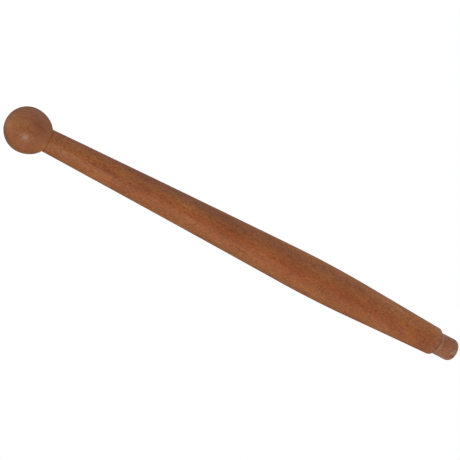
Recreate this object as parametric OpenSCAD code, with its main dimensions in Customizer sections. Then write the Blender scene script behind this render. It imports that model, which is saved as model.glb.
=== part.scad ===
// Ball-headed wooden mallet: a turned ball, a long swelled shaft and a short spigot at the butt.
// It lies along X. The origin is on the axis where the spigot leaves the butt, and the ball is at -X.

/* [Overall] */
// Length from the ball's pole to the spigot's tip
overall_l = 500; // [440:5:560]

/* [Ball head] */
// Diameter of the ball
ball_d = 43.6; // [38:0.2:50]
// Length of the ball's back half if it ran on to a point, a little more than its radius
ball_back_l = 24.4; // [22:0.2:28]
// Diameter of the flat seat where the ball meets the shaft
seat_d = 21.8; // [20:0.2:22]

/* [Shaft] */
// Diameter beside the ball
neck_d = 22.6; // [22:0.2:26]
// Diameter where the two straight tapers would cross at the swell
taper_d = 39.2; // [34:0.2:44]
// Distance of that crossing from the butt
taper_from_butt = 134; // [110:1:170]
// Length over which the swell is blended, before and after the crossing
blend_l = 40; // [20:1:60]
// Diameter to which the taper runs at the butt, before the shoulder is rounded
butt_d = 27.6; // [26:0.2:29.4]
// Rounding of the butt's shoulder
shoulder_r = 5.5; // [4:0.1:6]
// Rounding of the shaft's edge at the crease beside the ball
crease_r = 0.4; // [0.2:0.1:0.8]

/* [Spigot] */
// Diameter of the spigot
spigot_d = 22.2; // [21.6:0.1:23]
// Length of the spigot out of the butt
spigot_l = 22; // [16:0.5:30]
// Rounding of the spigot's end
spigot_end_r = 6.5; // [2:0.1:8]

/* [Joinery] */
// Diameter of the shaft's tenon inside the ball
head_tenon_d = 14; // [12:0.2:15]
// Length of that tenon
head_tenon_l = 26; // [20:0.5:28]
// Room between the end of that tenon and the bottom of the ball's bore
head_gap = 2; // [1:0.1:3]
// Diameter of the peg's tenon inside the butt
butt_tenon_d = 16; // [14:0.2:17]
// Length of that tenon
butt_tenon_l = 38; // [25:1:60]
// Room between the end of that tenon and the bottom of the butt's bore
butt_gap = 1.5; // [1:0.1:3]
// Room for glue around each tenon, on the radius
glue_gap = 0.1; // [0.05:0.01:0.2]
// Chamfer on the end of each tenon
tenon_chamfer = 1; // [0.5:0.1:1.5]
// Thickness of the wedge at its thick end
wedge_t = 3; // [2.4:0.1:3.6]
// Thickness of the wedge at its thin end
wedge_tip_t = 1.2; // [0.8:0.1:1.6]
// Length of the wedge
wedge_l = 20; // [14:0.5:20]
// Width of the wedge across the tenon
wedge_w = 11; // [9:0.2:11]

/* [Hidden] */

OILED_WOOD = [0.57, 0.35, 0.20];
BARE_WOOD = [0.62, 0.44, 0.32];
PALE_WOOD = [0.78, 0.64, 0.44];

// Segments round each solid
$fn = 96;
// Segments in each half of the ball's outline, along the swell's blend and round each edge
ball_steps = 30;
blend_steps = 16;
edge_steps = 14;

// Far enough past a surface to cut it cleanly
cut = 1;

ball_r = ball_d / 2;
neck_r = neck_d / 2;
butt_r = butt_d / 2;
spigot_r = spigot_d / 2;

// Places along X
pole_x = spigot_l - overall_l;
ball_x = pole_x + ball_r;
seat_angle = asin(seat_d / ball_d);
seat_x = ball_x + ball_back_l * cos(seat_angle);
taper_x = -taper_from_butt;
head_bore_x = seat_x - head_tenon_l - head_gap;

// The two tapers, as points [x, radius] on the shaft's outline
taper_tip = [taper_x, taper_d / 2];
head_slope = (taper_tip[1] - neck_r) / (taper_x - seat_x);
butt_slope = (taper_tip[1] - butt_r) / taper_from_butt;
blend_start = taper_tip - blend_l * [1, head_slope];
blend_end = taper_tip + blend_l * [1, -butt_slope];

// The shoulder's arc touches the butt's taper and ends on the spigot's edge at x = 0
arc_drop = shoulder_r * norm([1, butt_slope]);
arc_rise = spigot_r - butt_r + arc_drop;
arc_a = 1 + pow(butt_slope, 2);
arc_b = arc_rise * butt_slope;
arc_c = pow(arc_rise, 2) - pow(shoulder_r, 2);
arc_x = (-arc_b - sqrt(pow(arc_b, 2) - arc_a * arc_c)) / arc_a;
arc_centre = [arc_x, butt_r - butt_slope * arc_x - arc_drop];
arc_from = 90 - atan(butt_slope);
arc_to = atan2(spigot_r - arc_centre[1], -arc_x);

// Points [x, radius] round an arc, or round an ellipse with semi-axes a along X and b across it
function arc(centre, a, b, from, to, steps) =
    [for (i = [0 : steps]) let (t = from + (to - from) * i / steps) centre + [a * cos(t), b * sin(t)]];

// Points on the curve that leaves p0 and reaches p2 along the lines to p1
function blend(p0, p1, p2, steps) =
    [for (i = [0 : steps]) let (t = i / steps) pow(1 - t, 2) * p0 + 2 * t * (1 - t) * p1 + t * t * p2];

// A solid turned about X from an outline of points [x, radius]
module turned(outline)
{
    rotate([0, 90, 0])
        rotate_extrude()
            polygon([for (p = outline) [p[1], p[0]]]);
}

// A straight hole along X
module bore(from, to, d)
{
    translate([from, 0, 0])
        rotate([0, 90, 0])
            cylinder(h = to - from, d = d);
}

// The wedge's shape, with its thick end on the bottom of the ball's bore, cut to a width along Z
module wedge(w)
{
    back = wedge_t / 2;
    tip = wedge_tip_t / 2;
    translate([head_bore_x, 0, 0])
        linear_extrude(height = w, center = true)
            polygon([[0, -back], [wedge_l, -tip], [wedge_l, tip], [0, back]]);
}

// The ball, with a flat seat and a blind bore for the shaft's tenon
module ball_head()
{
    front = arc([ball_x, 0], ball_r, ball_r, 180, 90, ball_steps);
    back = arc([ball_x, 0], ball_back_l, ball_r, 90, seat_angle, ball_steps);
    color(OILED_WOOD)
        difference()
        {
            turned([each front, each back, [seat_x, 0]]);
            bore(head_bore_x, seat_x + cut, head_tenon_d + 2 * glue_gap);
        }
}

// The shaft, with a kerfed tenon for the ball and a blind bore in the butt
module handle_shaft()
{
    tenon_r = head_tenon_d / 2;
    tenon_x = seat_x - head_tenon_l;
    crease = arc([seat_x + crease_r, neck_r - crease_r], crease_r, crease_r, 180, 90, edge_steps);
    swell = blend(blend_start, taper_tip, blend_end, blend_steps);
    shoulder = arc(arc_centre, shoulder_r, shoulder_r, arc_from, arc_to, edge_steps);
    color(OILED_WOOD)
        difference()
        {
            turned([
                [tenon_x, 0],
                [tenon_x, tenon_r - tenon_chamfer],
                [tenon_x + tenon_chamfer, tenon_r],
                [seat_x, tenon_r],
                each crease,
                each swell,
                each shoulder,
                [0, 0]
            ]);
            bore(-butt_tenon_l - butt_gap, cut, butt_tenon_d + 2 * glue_gap);
            wedge(head_tenon_d + cut);
        }
}

// The fox wedge, driven into the tenon's kerf by the bottom of the ball's bore
module head_wedge()
{
    color(PALE_WOOD)
        wedge(wedge_w);
}

// The peg: a spigot with a rounded end, and a thinner tenon glued into the butt
module butt_spigot()
{
    tenon_r = butt_tenon_d / 2;
    corner = [spigot_l - spigot_end_r, spigot_r - spigot_end_r];
    color(BARE_WOOD)
        turned([
            [-butt_tenon_l, 0],
            [-butt_tenon_l, tenon_r - tenon_chamfer],
            [tenon_chamfer - butt_tenon_l, tenon_r],
            [0, tenon_r],
            [0, spigot_r],
            each arc(corner, spigot_end_r, spigot_end_r, 90, 0, edge_steps),
            [spigot_l, 0]
        ]);
}

ball_head();
handle_shaft();
head_wedge();
butt_spigot();
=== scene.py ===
import math
import random

import bmesh
import bpy
from mathutils import Euler, Matrix, Vector, noise


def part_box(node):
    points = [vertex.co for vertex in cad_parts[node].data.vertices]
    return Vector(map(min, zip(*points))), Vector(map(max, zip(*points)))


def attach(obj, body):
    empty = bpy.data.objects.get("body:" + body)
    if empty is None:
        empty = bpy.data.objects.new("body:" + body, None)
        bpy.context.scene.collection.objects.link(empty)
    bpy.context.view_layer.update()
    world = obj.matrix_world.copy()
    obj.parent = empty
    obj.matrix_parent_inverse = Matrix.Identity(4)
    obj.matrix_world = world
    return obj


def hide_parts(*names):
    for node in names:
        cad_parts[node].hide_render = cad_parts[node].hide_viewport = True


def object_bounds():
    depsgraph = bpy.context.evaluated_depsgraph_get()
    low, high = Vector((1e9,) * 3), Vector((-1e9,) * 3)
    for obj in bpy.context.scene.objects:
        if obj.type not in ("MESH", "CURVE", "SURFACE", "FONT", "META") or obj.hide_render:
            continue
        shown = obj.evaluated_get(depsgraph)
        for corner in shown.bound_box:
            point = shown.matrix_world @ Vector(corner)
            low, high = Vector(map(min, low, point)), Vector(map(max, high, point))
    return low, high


MM = 0.001

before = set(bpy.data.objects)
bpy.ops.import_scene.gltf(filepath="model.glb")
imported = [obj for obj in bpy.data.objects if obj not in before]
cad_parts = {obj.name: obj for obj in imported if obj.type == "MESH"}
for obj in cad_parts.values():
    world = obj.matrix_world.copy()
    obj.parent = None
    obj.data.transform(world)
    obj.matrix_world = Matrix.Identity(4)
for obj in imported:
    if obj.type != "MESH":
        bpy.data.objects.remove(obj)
cad_low, cad_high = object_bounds()

# ---- What the frame says about each piece ------------------------------------------------------------------
ball_low, ball_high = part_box("ball_head")
shaft_low, shaft_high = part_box("handle_shaft")
wedge_low, wedge_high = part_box("head_wedge")
peg_low, peg_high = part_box("butt_spigot")

POLE_X = ball_low.x
SEAT_X = ball_high.x
BALL_R = ball_high.z
BALL_X = POLE_X + BALL_R
BUTT_X = shaft_high.x
SPIGOT_R = peg_high.z
TIP_X = peg_high.x
TENON_X = shaft_low.x
PEG_END_X = peg_low.x
HEAD_BORE_X = wedge_low.x
WEDGE_END_X = wedge_high.x
WEDGE_T = wedge_high.y - wedge_low.y

# ---- Sizes that a box doesn't give, in metres --------------------------------------------------------------
SEAT_R = 10.9 * MM
BALL_BACK_L = 24.4 * MM
NECK_R = 11.3 * MM
CREASE_R = 0.4 * MM
TAPER_R = 19.6 * MM
TAPER_X = BUTT_X - 134 * MM
BLEND_L = 40 * MM
BUTT_R = 13.8 * MM
SHOULDER_R = 5.5 * MM
SPIGOT_END_R = 6.5 * MM
HEAD_TENON_R = 7 * MM
BUTT_TENON_R = 8 * MM
BUTT_BORE_X = BUTT_X - 39.5 * MM
GLUE_GAP = 0.1 * MM
CHAMFER = 1 * MM
WEDGE_TIP_T = 1.2 * MM

# What the CAD model leaves out: the chamfer at the spigot's root, and how far the shaft is bowed
SEAM = 0.25 * MM
BOW = 0.75 * MM

# ---- How fine each mesh is: segments round it, and the longest step along its outline ----------------------
BALL_SEGMENTS = 256
BALL_STEP = 0.5 * MM
SHAFT_SEGMENTS = 192
SHAFT_STEP = 1.2 * MM
PEG_SEGMENTS = 160
PEG_STEP = 0.7 * MM

# Edges sharper than this many degrees stay crisp
CRISP_ANGLE = 30

# ---- Camera, with its lens and sensor in millimetres and its distance in metres ----------------------------
TILT = math.radians(16.5)
ROLL = math.radians(27.5)
LENS = 167.5
SENSOR_WIDTH = 36
CAMERA_DISTANCE = 2.03
AIM_BACK = 11.2 * MM
AIM_ASIDE = 4.55 * MM

# The picture's own axes before the camera's roll: along the mallet, up across it and towards the camera
ALONG = Vector((math.cos(TILT), 0, math.sin(TILT)))
ASIDE = Vector((0, 1, 0))
TOWARD = Vector((-math.sin(TILT), 0, math.cos(TILT)))

# ---- Light -------------------------------------------------------------------------------------------------
# The room's even light, and the least that is left where a lobe takes light away
ROOM_LIGHT = 0.13
LEAST_LIGHT = 0.05

# Where more light or less comes from: the direction, the half-width in degrees and the light added
LIGHT_LOBES = [
    (TOWARD - 0.9 * ASIDE, 95, 0.57),
    (ASIDE + 0.1 * TOWARD, 75, 0.60),
    (TOWARD - 0.6 * ASIDE, 30, 0.80),
    (TOWARD + 0.6 * ASIDE, 30, 0.10),
    (ALONG, 60, 0.42),
    (-ALONG, 60, 0.42),
    (TOWARD - 0.1 * ASIDE, 45, -0.48),
]

# The lamp, as a disk of even brightness at a distance from the ball, in metres
LAMP_WAY = (TOWARD - 0.76 * ASIDE + 0.32 * ALONG).normalized()
LAMP_LIGHT = 12.5
LAMP_COLOUR = (1.0, 0.95, 0.82)
LAMP_R = 0.17
LAMP_DISTANCE = 1.3


# ---- Outlines, as points (x, radius) -----------------------------------------------------------------------
def arc(cx, cr, a, b, start, end, steps):
    """Points round an ellipse with semi-axes a along X and b across it, from start to end degrees."""
    angles = [math.radians(start + (end - start) * i / steps) for i in range(steps + 1)]
    return [(cx + a * math.cos(t), cr + b * math.sin(t)) for t in angles]


def blend(p0, p1, p2, steps):
    """Points on the curve that leaves p0 and reaches p2 along the lines to p1."""
    made = []
    for i in range(steps + 1):
        t = i / steps
        made.append(tuple((1 - t) ** 2 * a + 2 * t * (1 - t) * b + t * t * c for a, b, c in zip(p0, p1, p2)))
    return made


def ball_outline():
    """From the pole over the ball to the flat seat, and down the bore for the shaft's tenon."""
    seat = math.degrees(math.asin(SEAT_R / BALL_R))
    front = arc(BALL_X, 0, BALL_R, BALL_R, 180, 90, steps=90)
    back = arc(BALL_X, 0, BALL_BACK_L, BALL_R, 90, seat, steps=60)
    bore_r = HEAD_TENON_R + GLUE_GAP
    return front + back[1:] + [(SEAT_X, bore_r), (HEAD_BORE_X, bore_r), (HEAD_BORE_X, 0)]


def shoulder_outline(slope):
    """The butt's rounding, an arc that touches the taper and ends on the spigot's edge."""
    drop = SHOULDER_R * math.hypot(1, slope)
    rise = SPIGOT_R - BUTT_R + drop
    a = 1 + slope ** 2
    b = rise * slope
    c = rise ** 2 - SHOULDER_R ** 2
    centre_x = (-b - math.sqrt(b ** 2 - a * c)) / a
    centre_r = BUTT_R - slope * centre_x - drop
    start = 90 - math.degrees(math.atan(slope))
    end = math.degrees(math.atan2(SPIGOT_R - centre_r, -centre_x))
    return arc(centre_x, centre_r, SHOULDER_R, SHOULDER_R, start, end, steps=24)


def shaft_outline():
    """From the tenon in the ball over the swell to the butt, and up the bore for the peg's tenon."""
    head_slope = (TAPER_R - NECK_R) / (TAPER_X - SEAT_X)
    butt_slope = (TAPER_R - BUTT_R) / (BUTT_X - TAPER_X)
    before = (TAPER_X - BLEND_L, TAPER_R - BLEND_L * head_slope)
    after = (TAPER_X + BLEND_L, TAPER_R - BLEND_L * butt_slope)
    bore_r = BUTT_TENON_R + GLUE_GAP
    return (
        [(TENON_X, 0), (TENON_X, HEAD_TENON_R - CHAMFER), (TENON_X + CHAMFER, HEAD_TENON_R),
         (SEAT_X, HEAD_TENON_R)]
        + arc(SEAT_X + CREASE_R, NECK_R - CREASE_R, CREASE_R, CREASE_R, 180, 90, steps=8)
        + blend(before, (TAPER_X, TAPER_R), after, steps=60)
        + shoulder_outline(butt_slope)
        + [(BUTT_X, bore_r), (BUTT_BORE_X, bore_r), (BUTT_BORE_X, 0)]
    )


def peg_outline():
    """From the tenon's end in the butt to the spigot's rounded tip."""
    end_x = TIP_X - SPIGOT_END_R
    end_r = SPIGOT_R - SPIGOT_END_R
    return (
        [(PEG_END_X, 0), (PEG_END_X, BUTT_TENON_R - CHAMFER), (PEG_END_X + CHAMFER, BUTT_TENON_R),
         (BUTT_X, BUTT_TENON_R), (BUTT_X, SPIGOT_R - SEAM), (BUTT_X + SEAM, SPIGOT_R)]
        + arc(end_x, end_r, SPIGOT_END_R, SPIGOT_END_R, 90, 0, steps=32)
        + [(TIP_X, 0)]
    )


def spaced(outline, step):
    """The outline with a point at least every step, so that the surface can carry fine unevenness."""
    made = [outline[0]]
    for (x0, r0), (x1, r1) in zip(outline, outline[1:]):
        n = max(1, math.ceil(math.hypot(x1 - x0, r1 - r0) / step))
        made += [(x0 + (x1 - x0) * i / n, r0 + (r1 - r0) * i / n) for i in range(1, n + 1)]
    return made


# ---- Wear --------------------------------------------------------------------------------------------------
# The long waves and the tool marks that hand turning leaves: their depth in millimetres, and how fast they
# change along and across the mallet, per metre
WAVE_DEPTH = 0.06
WAVE_RATES = (22, 55)
TOOL_DEPTH = 0.03
TOOL_RATES = (160, 14)

# Keeps the tool marks from following the waves
TOOL_SHIFT = 5

# Dents in the ball: how many, and the range of their radius and of their depth in millimetres
DENT_SEED = 11
DENT_COUNT = 26
DENT_RADIUS = (1.2, 3.2)
DENT_DEPTH = (0.03, 0.10)

# Close enough to count as on a surface, and as on the axis
TOUCH = 0.01 * MM
ON_AXIS = 1e-9


def ripple(p, along, across, shift=0):
    """Noise from about 0 to 1 that changes at two rates."""
    return 0.5 + 0.5 * noise.noise(Vector((p.x * along, p.y * across, p.z * across + shift)))


def uneven(p):
    """How far hand turning leaves the surface below its outline at a point, from 0 to about 0.1 mm."""
    long_wave = ripple(p, *WAVE_RATES)
    tool_mark = ripple(p, *TOOL_RATES, TOOL_SHIFT)
    return (WAVE_DEPTH * long_wave + TOOL_DEPTH * tool_mark) * MM


def inward(p, depth):
    """The point moved towards the axis."""
    r = math.hypot(p.y, p.z)
    keep = (r - depth) / r
    return Vector((p.x, p.y * keep, p.z * keep))


def ball_dents():
    """Shallow dents, mostly on the side away from the shaft, as (centre, radius, depth)."""
    random.seed(DENT_SEED)
    dents = []
    for _ in range(DENT_COUNT):
        x = -abs(random.gauss(0.9, 0.5))
        y = random.gauss(0, 0.7)
        z = random.gauss(0.1, 0.7)
        centre = Vector((BALL_X, 0, 0)) + BALL_R * Vector((x, y, z)).normalized()
        dents.append((centre, random.uniform(*DENT_RADIUS) * MM, random.uniform(*DENT_DEPTH) * MM))
    return dents


DENTS = ball_dents()


def worn_ball(p):
    """Uneven and dented outside, and as turned on the seat and in the bore."""
    out = p - Vector((BALL_X, 0, 0))
    on_seat = p.x > SEAT_X - TOUCH
    along_bore = BALL_X - 0.9 * BALL_R < p.x < SEAT_X - 1 * MM
    in_bore = along_bore and out.length < BALL_R - TOUCH and math.hypot(p.y, p.z) < SEAT_R
    if on_seat or in_bore:
        return p
    depth = uneven(p)
    for centre, radius, dent_depth in DENTS:
        d = (p - centre).length / radius
        if d < 1:
            depth += dent_depth * (1 - d * d) ** 2
    return p - out.normalized() * depth


def worn_shaft(p):
    """Uneven outside, and bowed a little between its joints, as wood moves after turning."""
    r = math.hypot(p.y, p.z)
    if r < NECK_R - CREASE_R:
        return p
    along = (p.x - SEAT_X) / (BUTT_X - SEAT_X)
    return inward(p, uneven(p)) + Vector((0, 4 * BOW * along * (1 - along), 0))


def worn_peg(p):
    """Uneven outside the butt, except on the flat of the tip."""
    r = math.hypot(p.y, p.z)
    if p.x <= BUTT_X or r < SPIGOT_END_R:
        return p
    return inward(p, uneven(p))


# ---- Solids ------------------------------------------------------------------------------------------------
def turned(name, outline, segments, wear):
    """A closed solid turned about X and worn point by point. The outline starts and ends on the axis."""
    mesh = bmesh.new()
    rings = []
    for x, r in outline:
        if r < ON_AXIS:
            rings.append([mesh.verts.new((x, 0, 0))])
            continue
        ring = []
        for k in range(segments):
            t = 2 * math.pi * k / segments
            p = Vector((x, r * math.cos(t), r * math.sin(t)))
            ring.append(mesh.verts.new(wear(p)))
        rings.append(ring)
    for a, b in zip(rings, rings[1:]):
        for k in range(segments):
            m = (k + 1) % segments
            corners = [a[k % len(a)], a[m % len(a)], b[m % len(b)], b[k % len(b)]]
            face = list(dict.fromkeys(corners))
            if len(face) > 2:
                mesh.faces.new(face)
    bmesh.ops.recalc_face_normals(mesh, faces=mesh.faces)
    data = bpy.data.meshes.new(name)
    mesh.to_mesh(data)
    mesh.free()
    piece = bpy.data.objects.new(name, data)
    bpy.context.scene.collection.objects.link(piece)
    return piece


def cut_kerf(shaft):
    """Cuts the tapered slot that the fox wedge fills."""
    back = WEDGE_T / 2
    tip = WEDGE_TIP_T / 2
    wide = HEAD_TENON_R + CHAMFER
    outline = [(HEAD_BORE_X, -back), (WEDGE_END_X, -tip), (WEDGE_END_X, tip), (HEAD_BORE_X, back)]
    corners = [(x, y, z) for z in (-wide, wide) for x, y in outline]
    sides = [(i, (i + 1) % 4, 4 + (i + 1) % 4, 4 + i) for i in range(4)]
    data = bpy.data.meshes.new("kerf")
    data.from_pydata(corners, [], [(3, 2, 1, 0), (4, 5, 6, 7)] + sides)
    cutter = bpy.data.objects.new("kerf", data)
    bpy.context.scene.collection.objects.link(cutter)
    boolean = shaft.modifiers.new("kerf", "BOOLEAN")
    boolean.operation = "DIFFERENCE"
    boolean.solver = "EXACT"
    boolean.object = cutter
    depsgraph = bpy.context.evaluated_depsgraph_get()
    cut = bpy.data.meshes.new_from_object(shaft.evaluated_get(depsgraph))
    shaft.modifiers.clear()
    shaft.data = cut
    bpy.data.objects.remove(cutter)
    bpy.data.meshes.remove(data)


def crisp_edges(piece):
    """Shades the surface smoothly, but keeps the sharp edges."""
    piece.data.shade_smooth()
    mesh = bmesh.new()
    mesh.from_mesh(piece.data)
    for edge in mesh.edges:
        edge.smooth = len(edge.link_faces) == 2 and edge.calc_face_angle(0) < math.radians(CRISP_ANGLE)
    mesh.to_mesh(piece.data)
    mesh.free()


# ---- Node helpers ------------------------------------------------------------------------------------------
def add(tree, kind, inputs=None, **settings):
    """A shader node, with its settings, and its sockets set to values or joined to other sockets."""
    made = tree.nodes.new("ShaderNode" + kind)
    for key, value in settings.items():
        setattr(made, key, value)
    for socket, value in (inputs or {}).items():
        if isinstance(value, bpy.types.NodeSocket):
            tree.links.new(value, made.inputs[socket])
        else:
            made.inputs[socket].default_value = value
    return made


def calc(tree, operation, a, b=0.0, c=0.0):
    return add(tree, "Math", {0: a, 1: b, 2: c}, operation=operation).outputs[0]


def vector(tree, operation, a, b):
    return add(tree, "VectorMath", {0: a, 1: b}, operation=operation).outputs["Vector"]


def fade(tree, value, low, high, to_low=0.0, to_high=1.0):
    """A smooth step from to_low, at or below low, to to_high, at or above high."""
    made = add(tree, "MapRange", {"Value": value, "From Min": low, "From Max": high, "To Min": to_low,
                                  "To Max": to_high}, interpolation_type="SMOOTHSTEP")
    return made.outputs[0]


def mix_colour(tree, factor, a, b, blend_type="MIX"):
    made = add(tree, "Mix", {0: factor, 6: a, 7: b}, data_type="RGBA", blend_type=blend_type)
    return made.outputs[2]


def tinted(tree, colour, tint):
    return mix_colour(tree, 1.0, colour, (*tint, 1), "MULTIPLY")


def tones(tree, factor, stops):
    """A colour ramp through (position, colour) stops."""
    ramp = add(tree, "ValToRGB", {0: factor})
    elements = ramp.color_ramp.elements
    while len(elements) < len(stops):
        elements.new(0.5)
    for element, (position, colour) in zip(elements, stops):
        element.position = position
        element.color = (*colour, 1)
    return ramp.outputs[0]


# ---- Wood --------------------------------------------------------------------------------------------------
# Each wood's colours, from its darkest tone to its palest
OILED_TONES = [
    (0.10, (0.208, 0.045, 0.0060)),
    (0.38, (0.293, 0.074, 0.0110)),
    (0.58, (0.350, 0.097, 0.0162)),
    (0.80, (0.402, 0.129, 0.0280)),
    (1.00, (0.448, 0.161, 0.0440)),
]
BARE_TONES = [
    (0.10, (0.215, 0.072, 0.030)),
    (0.45, (0.325, 0.120, 0.056)),
    (0.75, (0.388, 0.164, 0.088)),
    (1.00, (0.420, 0.208, 0.128)),
]
PALE_TONES = [
    (0.10, (0.36, 0.22, 0.10)),
    (0.50, (0.56, 0.38, 0.19)),
    (1.00, (0.70, 0.52, 0.30)),
]
MIDDLE_TONE = 0.55

# How long and how wide the features of each layer of the figure are, in millimetres
RING_WIDTH = 2.6
RING_LENGTH = 600
MOTTLE_SIZE = (45, 12)
STREAK_SIZE = (11, 1.1)
FLECK_SIZE = (2.7, 1.2)
FIBRE_SIZE = (3.5, 0.28)
DRIFT_SIZE = (34, 9)

# How far the growth layers wander, and over what length and width, in millimetres
RING_WOBBLE = 5.0
RING_WOBBLE_SIZE = (60, 14)

# How far each layer of the figure moves the tone
RING_SHARE = 0.55
MOTTLE_SHARE = 0.88
STREAK_SHARE = 0.42
FLECK_SHARE = 1.35
FIBRE_SHARE = 0.45

# The tints between which the wood drifts
WARM_TINT = (1.0, 0.95, 0.80)
COOL_TINT = (1.0, 1.04, 1.20)

# Pores: how far apart they are along and across the fibres, in millimetres, and their share of that
COARSE_PORES = (8, 1.5, 0.26)
FINE_PORES = (4, 0.62, 0.17)

# The colour in the pores, and how much of it shows
COARSE_PORE_COLOUR = (0.11, 0.032, 0.008)
COARSE_PORE_AMOUNT = 0.55
FINE_PORE_COLOUR = (0.14, 0.040, 0.010)
FINE_PORE_AMOUNT = 0.45

# The finish, and how far streaks and pores change its roughness
IOR = 1.50
SHEEN = 0.07
SHEEN_ROUGHNESS = 0.5
STREAK_ROUGHNESS = 0.22
PORE_ROUGHNESS = 0.25

# Relief in millimetres, and how deep a fine pore is beside a coarse one
FIBRE_RELIEF = 0.012
STREAK_RELIEF = 0.02
FINE_PORE_DEPTH = 0.4

# From the scene's metres to millimetres
TO_MM = (1000, 1000, 1000)


def grain_space(tree, pith, angle, shift):
    """Coordinates in millimetres with the fibres along X, and the distance from the tree's pith."""
    where = add(tree, "TexCoord").outputs["Object"]
    grain = add(tree, "Mapping", {"Vector": where, "Location": shift, "Rotation": angle,
                                  "Scale": TO_MM}).outputs[0]
    across = vector(tree, "MULTIPLY", grain, (0, 1, 1))
    from_pith = add(tree, "VectorMath", {0: across, 1: (0, *pith)}, operation="DISTANCE").outputs["Value"]
    return where, grain, from_pith


def stretched(tree, grain, long, wide):
    """The grain's coordinates scaled so that a feature is long by wide millimetres."""
    return vector(tree, "MULTIPLY", grain, (1 / long, 1 / wide, 1 / wide))


def cloud(tree, grain, long, wide, detail=2.0, rough=0.5):
    """Noise from about 0 to 1 with features long by wide millimetres."""
    made = add(tree, "TexNoise", {"Vector": stretched(tree, grain, long, wide), "Scale": 1.0,
                                  "Detail": detail, "Roughness": rough})
    return made.outputs[0]


def growth_rings(tree, grain, from_pith):
    """Irregular growth layers round the pith."""
    wobble = calc(tree, "MULTIPLY", cloud(tree, grain, *RING_WOBBLE_SIZE), RING_WOBBLE)
    depth = calc(tree, "DIVIDE", calc(tree, "ADD", from_pith, wobble), RING_WIDTH)
    x = add(tree, "SeparateXYZ", {0: grain}).outputs[0]
    place = add(tree, "CombineXYZ", {0: depth, 1: calc(tree, "DIVIDE", x, RING_LENGTH)}).outputs[0]
    return add(tree, "TexNoise", {"Vector": place, "Scale": 1.0, "Detail": 3.0, "Roughness": 0.6}).outputs[0]


def vessels(tree, grain, long, wide, size):
    """Open pores of uneven size, 1 in the middle of each one and 0 outside."""
    cells = add(tree, "TexVoronoi", {"Vector": stretched(tree, grain, long, wide), "Scale": 1.0,
                                     "Randomness": 1.0})
    luck = add(tree, "SeparateColor", {0: cells.outputs["Color"]}).outputs[0]
    reach = calc(tree, "MULTIPLY_ADD", luck, size, size * 0.4)
    inside = calc(tree, "DIVIDE", cells.outputs["Distance"], reach)
    return fade(tree, inside, 0.45, 1.0, 1.0, 0.0)


def wood(name, stops, pith, angle, shift, roughness, pore_depth, figure=1.0, stains_and_painted_light=None):
    """Turned hardwood: growth layers, mottling, fibre streaks and open pores, in colour, gloss and relief."""
    mat = bpy.data.materials.new(name)
    mat.use_nodes = True
    tree = mat.node_tree
    shader = tree.nodes["Principled BSDF"]
    where, grain, from_pith = grain_space(tree, pith, angle, shift)

    rings = growth_rings(tree, grain, from_pith)
    mottle = cloud(tree, grain, *MOTTLE_SIZE)
    streaks = cloud(tree, grain, *STREAK_SIZE, rough=0.6)
    flecks = cloud(tree, grain, *FLECK_SIZE)
    fibres = cloud(tree, grain, *FIBRE_SIZE, rough=0.6)
    coarse = vessels(tree, grain, *COARSE_PORES)
    fine = vessels(tree, grain, *FINE_PORES)

    layers = [
        (rings, RING_SHARE),
        (mottle, MOTTLE_SHARE),
        (streaks, STREAK_SHARE),
        (flecks, FLECK_SHARE),
        (fibres, FIBRE_SHARE),
    ]
    tone = MIDDLE_TONE - 0.5 * figure * sum(share for _, share in layers)
    for layer, share in layers:
        tone = calc(tree, "MULTIPLY_ADD", layer, figure * share, tone)
    colour = tones(tree, tone, stops)
    drift = fade(tree, cloud(tree, grain, *DRIFT_SIZE, detail=1.0), 0.3, 0.7)
    tint = mix_colour(tree, drift, (*WARM_TINT, 1), (*COOL_TINT, 1))
    colour = mix_colour(tree, 1.0, colour, tint, "MULTIPLY")
    # Stains, and painted light and shade, tint the colour before the pores
    if stains_and_painted_light:
        colour = stains_and_painted_light(tree, where, colour)
    coarse_amount = calc(tree, "MULTIPLY", coarse, COARSE_PORE_AMOUNT)
    colour = mix_colour(tree, coarse_amount, colour, (*COARSE_PORE_COLOUR, 1))
    fine_amount = calc(tree, "MULTIPLY", fine, FINE_PORE_AMOUNT)
    colour = mix_colour(tree, fine_amount, colour, (*FINE_PORE_COLOUR, 1))
    tree.links.new(colour, shader.inputs["Base Color"])

    gloss = calc(tree, "MULTIPLY_ADD", calc(tree, "SUBTRACT", streaks, 0.5), STREAK_ROUGHNESS, roughness)
    gloss = calc(tree, "MULTIPLY_ADD", coarse, PORE_ROUGHNESS, gloss)
    tree.links.new(gloss, shader.inputs["Roughness"])
    shader.inputs["IOR"].default_value = IOR
    shader.inputs["Sheen Weight"].default_value = SHEEN
    shader.inputs["Sheen Roughness"].default_value = SHEEN_ROUGHNESS

    height = calc(tree, "MULTIPLY", coarse, -pore_depth)
    height = calc(tree, "MULTIPLY_ADD", fine, -FINE_PORE_DEPTH * pore_depth, height)
    height = calc(tree, "MULTIPLY_ADD", fibres, FIBRE_RELIEF, height)
    height = calc(tree, "MULTIPLY_ADD", streaks, STREAK_RELIEF, height)
    bump = add(tree, "Bump", {"Strength": 1.0, "Distance": MM, "Height": height})
    tree.links.new(bump.outputs[0], shader.inputs["Normal"])
    return mat
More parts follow.
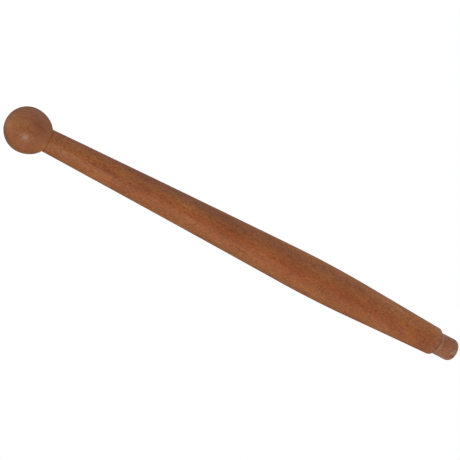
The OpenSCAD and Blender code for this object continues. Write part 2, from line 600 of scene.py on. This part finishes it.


# ---- Stains, and painted light and shade: patches of another tint, in millimetres --------------------------
# Each patch, a stain or painted light, has its centre, its size and its tint. Y is up across the mallet in
# the picture, and Z is nearly towards the camera. The shaft's patches count along X from the butt.
SHAFT_STAINS_AND_PAINTED_LIGHT = [
    ((-305, 16, 10), (105, 14, 14), (0.78, 0.79, 0.74)),  # painted shade: a darker upper side
    ((-170, 16, 8), (58, 8, 14), (1.24, 1.34, 1.36)),  # painted sheen: greyer upper side of the swell
    ((-45, 12, 9), (95, 13, 13), (1.38, 1.70, 2.30)),  # painted sheen: pale, grey upper side by the butt
    ((-190, -1, 14), (290, 9, 14), (1.01, 0.80, 0.43)),  # redder front nearly all along, painted: less grey reflection where it faces the camera
    ((-110, -1, 18), (105, 10, 8), (1.00, 0.96, 0.80)),  # redder still at the swell
    ((-300, -9, 11), (52, 9, 10), (0.93, 0.94, 0.95)),  # slightly darker lower front
    ((-40, -5, 14), (32, 9, 8), (1.10, 1.07, 1.00)),  # paler front by the butt
    ((-425, 1, 9), (88, 20, 20), (0.94, 1.01, 1.10)),  # greyer neck
    ((-250, -15, 7), (230, 8, 11), (1.02, 1.20, 1.68)),  # painted sheen: greyer lower side
    ((-400, -12, 4), (62, 7, 9), (1.03, 1.18, 1.45)),  # painted sheen: greyer lower side of the neck
    ((-285, 20, 0), (320, 9, 11), (1.24, 1.15, 0.62)),  # painted: a browner upper edge, with less of the grey sheen on the rim
    ((-343, 2, 13), (21, 8, 9), (0.79, 0.76, 0.76)),  # dark patch
    ((-393, 2, 12), (25, 5, 8), (1.14, 1.14, 1.16)),  # pale patches
    ((-168, -5, 18), (32, 8, 8), (1.12, 1.08, 1.00)),
    ((-374, -6, 12), (28, 6, 8), (1.14, 1.12, 1.10)),
]

# The ball's patches, stains and painted light, count from its centre
BALL_STAINS_AND_PAINTED_LIGHT = [
    ((-2, 21, 4), (26, 13, 20), (0.86, 0.73, 0.50)),  # painted shade: a browner, darker upper side, with less grey sheen at the rim
    ((4, 12, 16), (16, 10, 14), (0.87, 0.78, 0.76)),  # darker above the middle
    ((0, -21, 4), (24, 8, 16), (0.90, 0.88, 0.90)),  # painted shade: a darker underside along the rim
    ((6, 6, 20), (14, 11, 15), (0.85, 0.70, 0.64)),  # dark red patch towards the shaft
    ((18, -8, 10), (10, 10, 12), (1.26, 1.30, 1.14)),  # painted light: a pale patch by the seat, against the shade beside the crease
    ((-19, 0, 10), (14, 12, 15), (1.22, 1.34, 1.28)),  # pale pole
    ((-4, 1, 21), (15, 12, 8), (1.05, 1.15, 1.62)),  # painted reflection: a greyer middle, facing the camera
]
BALL_TINT = (0.99, 1.12, 1.48)

# The spigot's patches count from the butt, and those by its tip from the tip
SPIGOT_STAINS_AND_PAINTED_SHADE = [
    ((8, 0, 11), (8, 14, 10), (1.02, 0.88, 0.76)),  # redder front
    ((13, 11, 4), (13, 9, 12), (0.87, 0.74, 0.61)),  # painted shade: a browner, darker upper side
]
TIP_KNOCK_AND_PAINTED_HIGHLIGHT = [
    ((-5.5, -1.5, 10), (5, 6, 6), (1.12, 1.38, 1.70)),  # painted highlight: a pale patch on the tip's rounding
    ((-5, -5, 9.5), (3.2, 2.8, 4), (0.58, 0.48, 0.42)),  # small dark knock
]

# Rings of another tint: the start, the end and the softness of the edges along X, and the tint
# painted light: a paler ring on the shaft beside the crease, against the crease's shade
NECK_PAINTED_LIGHT_BANDS = [(0.9, 3.0, 0.9, (1.08, 1.12, 1.20))]
BUTT_GREY_AND_PAINTED_SHADE_BANDS = [
    (-9.0, 1, 3.0, (0.99, 1.17, 2.00)),
    # painted shade: a darker ring at the butt's end, under the shoulder
    (-1.6, 1, 1.0, (0.88, 0.92, 1.02)),
]
SEAT_PAINTED_LIGHT_AND_GREY_BANDS = [
    # painted light: a paler ring on the ball beside the crease, against the crease's shade
    (-3.4, -1.6, 0.8, (1.08, 1.14, 1.22)),
    (-0.9, 1, 0.5, (0.95, 1.04, 1.20)),
]
# painted highlight: a pale ring where the spigot leaves the butt
ROOT_PAINTED_HIGHLIGHT_BANDS = [(0.5, 2.0, 0.8, (1.10, 1.38, 1.70))]

# The waves in a patch's edge and in a band's edge: their length and width in millimetres, and how far they
# reach, as a share of the patch and in millimetres
PATCH_WAVE_SIZE = (20, 6)
PATCH_WAVE = 0.5
BAND_WAVE_SIZE = (6, 6)
BAND_WAVE = 1.5

# Where a patch starts to fade and where it ends, as a share of its size and with its waves counted in
PATCH_CORE = 0.3
PATCH_END = 1.25


def stain_or_painted_light(tree, place, colour, centre, size, tint):
    """Tints the wood inside a soft, wavy-edged ellipsoid."""
    wavy = cloud(tree, place, *PATCH_WAVE_SIZE, detail=1.0)
    off = vector(tree, "DIVIDE", vector(tree, "SUBTRACT", place, centre), size)
    away = add(tree, "VectorMath", {0: off}, operation="LENGTH").outputs["Value"]
    away = calc(tree, "MULTIPLY_ADD", wavy, PATCH_WAVE, away)
    inside = fade(tree, away, PATCH_CORE, PATCH_END, 1.0, 0.0)
    return mix_colour(tree, inside, colour, tinted(tree, colour, tint))


def band(tree, place, colour, start, end, soft, tint):
    """Tints a wavy-edged ring of wood."""
    x = add(tree, "SeparateXYZ", {0: place}).outputs[0]
    wavy = cloud(tree, place, *BAND_WAVE_SIZE, detail=1.0)
    x = calc(tree, "MULTIPLY_ADD", wavy, BAND_WAVE, calc(tree, "SUBTRACT", x, BAND_WAVE / 2))
    after_start = fade(tree, x, start - soft, start)
    before_end = fade(tree, x, end, end + soft, 1.0, 0.0)
    inside = calc(tree, "MULTIPLY", after_start, before_end)
    return mix_colour(tree, inside, colour, tinted(tree, colour, tint))


def add_stains_and_painted_light(tree, where, colour, from_x, stains_and_painted_light, bands):
    """Adds patches and bands, stains and painted light and shade, that count along X from a place on the
    mallet.
    """
    place = vector(tree, "MULTIPLY", where, TO_MM)
    zero = from_x / MM
    for (x, y, z), size, tint in stains_and_painted_light:
        colour = stain_or_painted_light(tree, place, colour, (zero + x, y, z), size, tint)
    for start, end, soft, tint in bands:
        colour = band(tree, place, colour, zero + start, zero + end, soft, tint)
    return colour


def shaft_stains_and_painted_light(tree, where, colour):
    """The stains and painted shade and sheen, a paler line of painted light beside the crease, and a greyer
    butt with a darker edge of painted shade.
    """
    colour = add_stains_and_painted_light(tree, where, colour, BUTT_X, SHAFT_STAINS_AND_PAINTED_LIGHT, [])
    colour = add_stains_and_painted_light(tree, where, colour, SEAT_X, [], NECK_PAINTED_LIGHT_BANDS)
    return add_stains_and_painted_light(tree, where, colour, BUTT_X, [], BUTT_GREY_AND_PAINTED_SHADE_BANDS)


def ball_stains_and_painted_light(tree, where, colour):
    """The ball's own tint, its stains and painted light, shade and reflection, and beside the crease a paler
    line of painted light and a greyer line.
    """
    colour = add_stains_and_painted_light(tree, where, tinted(tree, colour, BALL_TINT), BALL_X, BALL_STAINS_AND_PAINTED_LIGHT, [])
    return add_stains_and_painted_light(tree, where, colour, SEAT_X, [], SEAT_PAINTED_LIGHT_AND_GREY_BANDS)


def peg_stains_and_painted_light(tree, where, colour):
    """The stains, painted shade on the upper side, a painted highlight on the tip, and a pale ring of painted
    highlight where the spigot leaves the butt.
    """
    colour = add_stains_and_painted_light(tree, where, colour, BUTT_X, SPIGOT_STAINS_AND_PAINTED_SHADE, [])
    colour = add_stains_and_painted_light(tree, where, colour, TIP_X, TIP_KNOCK_AND_PAINTED_HIGHLIGHT, [])
    return add_stains_and_painted_light(tree, where, colour, BUTT_X, [], ROOT_PAINTED_HIGHLIGHT_BANDS)


# ---- Studio ------------------------------------------------------------------------------------------------
def make_camera():
    """A long lens that sees the mallet from the photo's angle."""
    right = math.cos(ROLL) * ALONG + math.sin(ROLL) * ASIDE
    up = math.cos(ROLL) * ASIDE - math.sin(ROLL) * ALONG
    aim = (cad_low + cad_high) / 2 - AIM_BACK * ALONG + AIM_ASIDE * ASIDE
    data = bpy.data.cameras.new("camera")
    data.lens = LENS
    data.sensor_width = SENSOR_WIDTH
    data.clip_start = 0.05
    data.clip_end = 50
    camera = bpy.data.objects.new("camera", data)
    turn = Matrix((right, up, TOWARD)).transposed().to_4x4()
    camera.matrix_world = Matrix.Translation(aim + CAMERA_DISTANCE * TOWARD) @ turn
    bpy.context.scene.collection.objects.link(camera)
    bpy.context.scene.camera = camera


def make_room():
    """Soft light from all round, uneven as the lobes say. The camera itself sees plain white."""
    world = bpy.data.worlds.new("studio")
    world.use_nodes = True
    tree = world.node_tree
    tree.nodes.clear()
    way = add(tree, "TexCoord").outputs["Generated"]
    light = ROOM_LIGHT
    for towards, spread, amount in LIGHT_LOBES:
        inputs = {0: way, 1: towards.normalized()}
        facing = add(tree, "VectorMath", inputs, operation="DOT_PRODUCT").outputs["Value"]
        more = fade(tree, facing, math.cos(math.radians(spread)), 1, 0, amount)
        light = calc(tree, "ADD", light, more)
    light = calc(tree, "MAXIMUM", light, LEAST_LIGHT)
    room = add(tree, "Background", {"Strength": light, "Color": (1, 1, 1, 1)})
    white = add(tree, "Background", {"Strength": 1.0, "Color": (1, 1, 1, 1)})
    seen = add(tree, "LightPath").outputs["Is Camera Ray"]
    both = add(tree, "MixShader", {0: seen, 1: room.outputs[0], 2: white.outputs[0]})
    add(tree, "OutputWorld", {"Surface": both.outputs[0]})
    bpy.context.scene.world = world


def make_lamp():
    """A small soft lamp near the camera, which gives the ball its highlight."""
    data = bpy.data.lights.new("lamp", "AREA")
    data.shape = "DISK"
    data.size = 2 * LAMP_R
    data.energy = LAMP_LIGHT * math.pi * math.pi * LAMP_R ** 2
    data.color = LAMP_COLOUR
    lamp = bpy.data.objects.new("lamp", data)
    lamp.location = Vector((BALL_X, 0, 0)) + LAMP_DISTANCE * LAMP_WAY
    lamp.rotation_mode = "QUATERNION"
    lamp.rotation_quaternion = LAMP_WAY.to_track_quat("Z", "Y")
    bpy.context.scene.collection.objects.link(lamp)


def make_floor():
    """A plain white floor, which only the camera sees: the room's light already includes its bounce."""
    half = 6
    z = cad_low.z
    corners = [(-half, -half, z), (half, -half, z), (half, half, z), (-half, half, z)]
    data = bpy.data.meshes.new("floor")
    data.from_pydata(corners, [], [(0, 1, 2, 3)])
    floor = bpy.data.objects.new("floor", data)
    mat = bpy.data.materials.new("floor")
    mat.use_nodes = True
    tree = mat.node_tree
    tree.nodes.clear()
    white = add(tree, "Emission", {"Color": (1, 1, 1, 1), "Strength": 1.0})
    add(tree, "OutputMaterial", {"Surface": white.outputs[0]})
    data.materials.append(mat)
    floor.visible_diffuse = False
    floor.visible_glossy = False
    floor.visible_shadow = False
    bpy.context.scene.collection.objects.link(floor)


# ---- The mallet --------------------------------------------------------------------------------------------
def fibre_angle(about_y, about_z):
    """How the fibres lie to X, in degrees."""
    return Euler((0, math.radians(about_y), math.radians(about_z)))


def make_ball():
    ball = turned("ball", spaced(ball_outline(), BALL_STEP), BALL_SEGMENTS, worn_ball)
    crisp_edges(ball)
    ball.data.materials.append(wood(
        "oiled_ball", OILED_TONES, pith=(70, -95), angle=fibre_angle(1.0, 8.0), shift=(0.31, 0.02, 0.01),
        roughness=0.35, pore_depth=0.04, figure=0.7, stains_and_painted_light=ball_stains_and_painted_light))
    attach(ball, "root")
    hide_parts("ball_head")


def make_shaft():
    shaft = turned("shaft", spaced(shaft_outline(), SHAFT_STEP), SHAFT_SEGMENTS, worn_shaft)
    cut_kerf(shaft)
    crisp_edges(shaft)
    shaft.data.materials.append(wood(
        "oiled_shaft", OILED_TONES, pith=(60, -85), angle=fibre_angle(1.0, 6.0), shift=(0, 0, 0),
        roughness=0.55, pore_depth=0.07, stains_and_painted_light=shaft_stains_and_painted_light))
    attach(shaft, "root")
    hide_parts("handle_shaft")


def make_peg():
    peg = turned("peg", spaced(peg_outline(), PEG_STEP), PEG_SEGMENTS, worn_peg)
    crisp_edges(peg)
    peg.data.materials.append(wood(
        "bare_peg", BARE_TONES, pith=(40, 75), angle=fibre_angle(-1.0, 2.0), shift=(0.1, 0.03, 0.05),
        roughness=0.62, pore_depth=0.08, stains_and_painted_light=peg_stains_and_painted_light))
    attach(peg, "root")
    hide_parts("butt_spigot")


def finish_wedge():
    """The wedge keeps its CAD mesh, in pale wood."""
    pale = wood(
        "pale_wedge", PALE_TONES, pith=(30, 60), angle=fibre_angle(0.5, 1.0), shift=(0.2, 0.01, 0.04),
        roughness=0.6, pore_depth=0.03)
    for slot in bpy.data.objects["head_wedge"].material_slots:
        slot.material = pale


bpy.context.scene.view_settings.view_transform = "Standard"
make_camera()
make_room()
make_lamp()
make_floor()
make_ball()
make_shaft()
make_peg()
finish_wedge()
